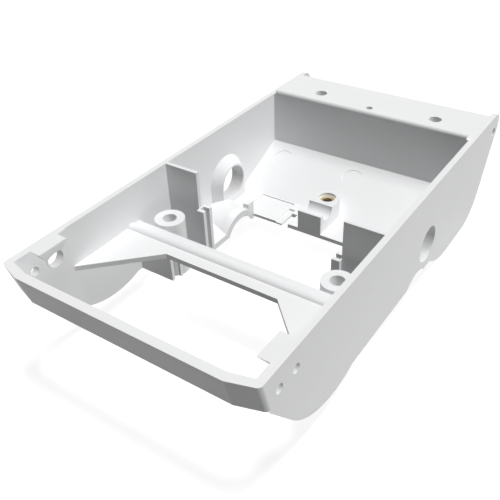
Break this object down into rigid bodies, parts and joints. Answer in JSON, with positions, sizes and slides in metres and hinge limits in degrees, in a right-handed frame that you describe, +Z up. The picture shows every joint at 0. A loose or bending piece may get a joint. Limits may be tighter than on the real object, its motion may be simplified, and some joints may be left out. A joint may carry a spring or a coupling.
{
  "type": "pool cleaner lower body",
  "caption": "Lower body of a suction pool cleaner: an open-topped white moulding with keels, screw posts and a brass threaded insert.",
  "frame": {"origin": "centre of the bounding box's bottom face", "axes": "+Y from the nose bar to the rear flange, +Z up out of the open rim, +X to the right when looking along +Y"},
  "size_m": [0.16, 0.3134, 0.0764],
  "materials": {
    "body_white": "smooth white moulded plastic",
    "brass": "turned brass"
  },
  "bodies": {
    "root": {"lower_body": "body_white", "threaded_insert": "brass"}
  },
  "joints": []
}
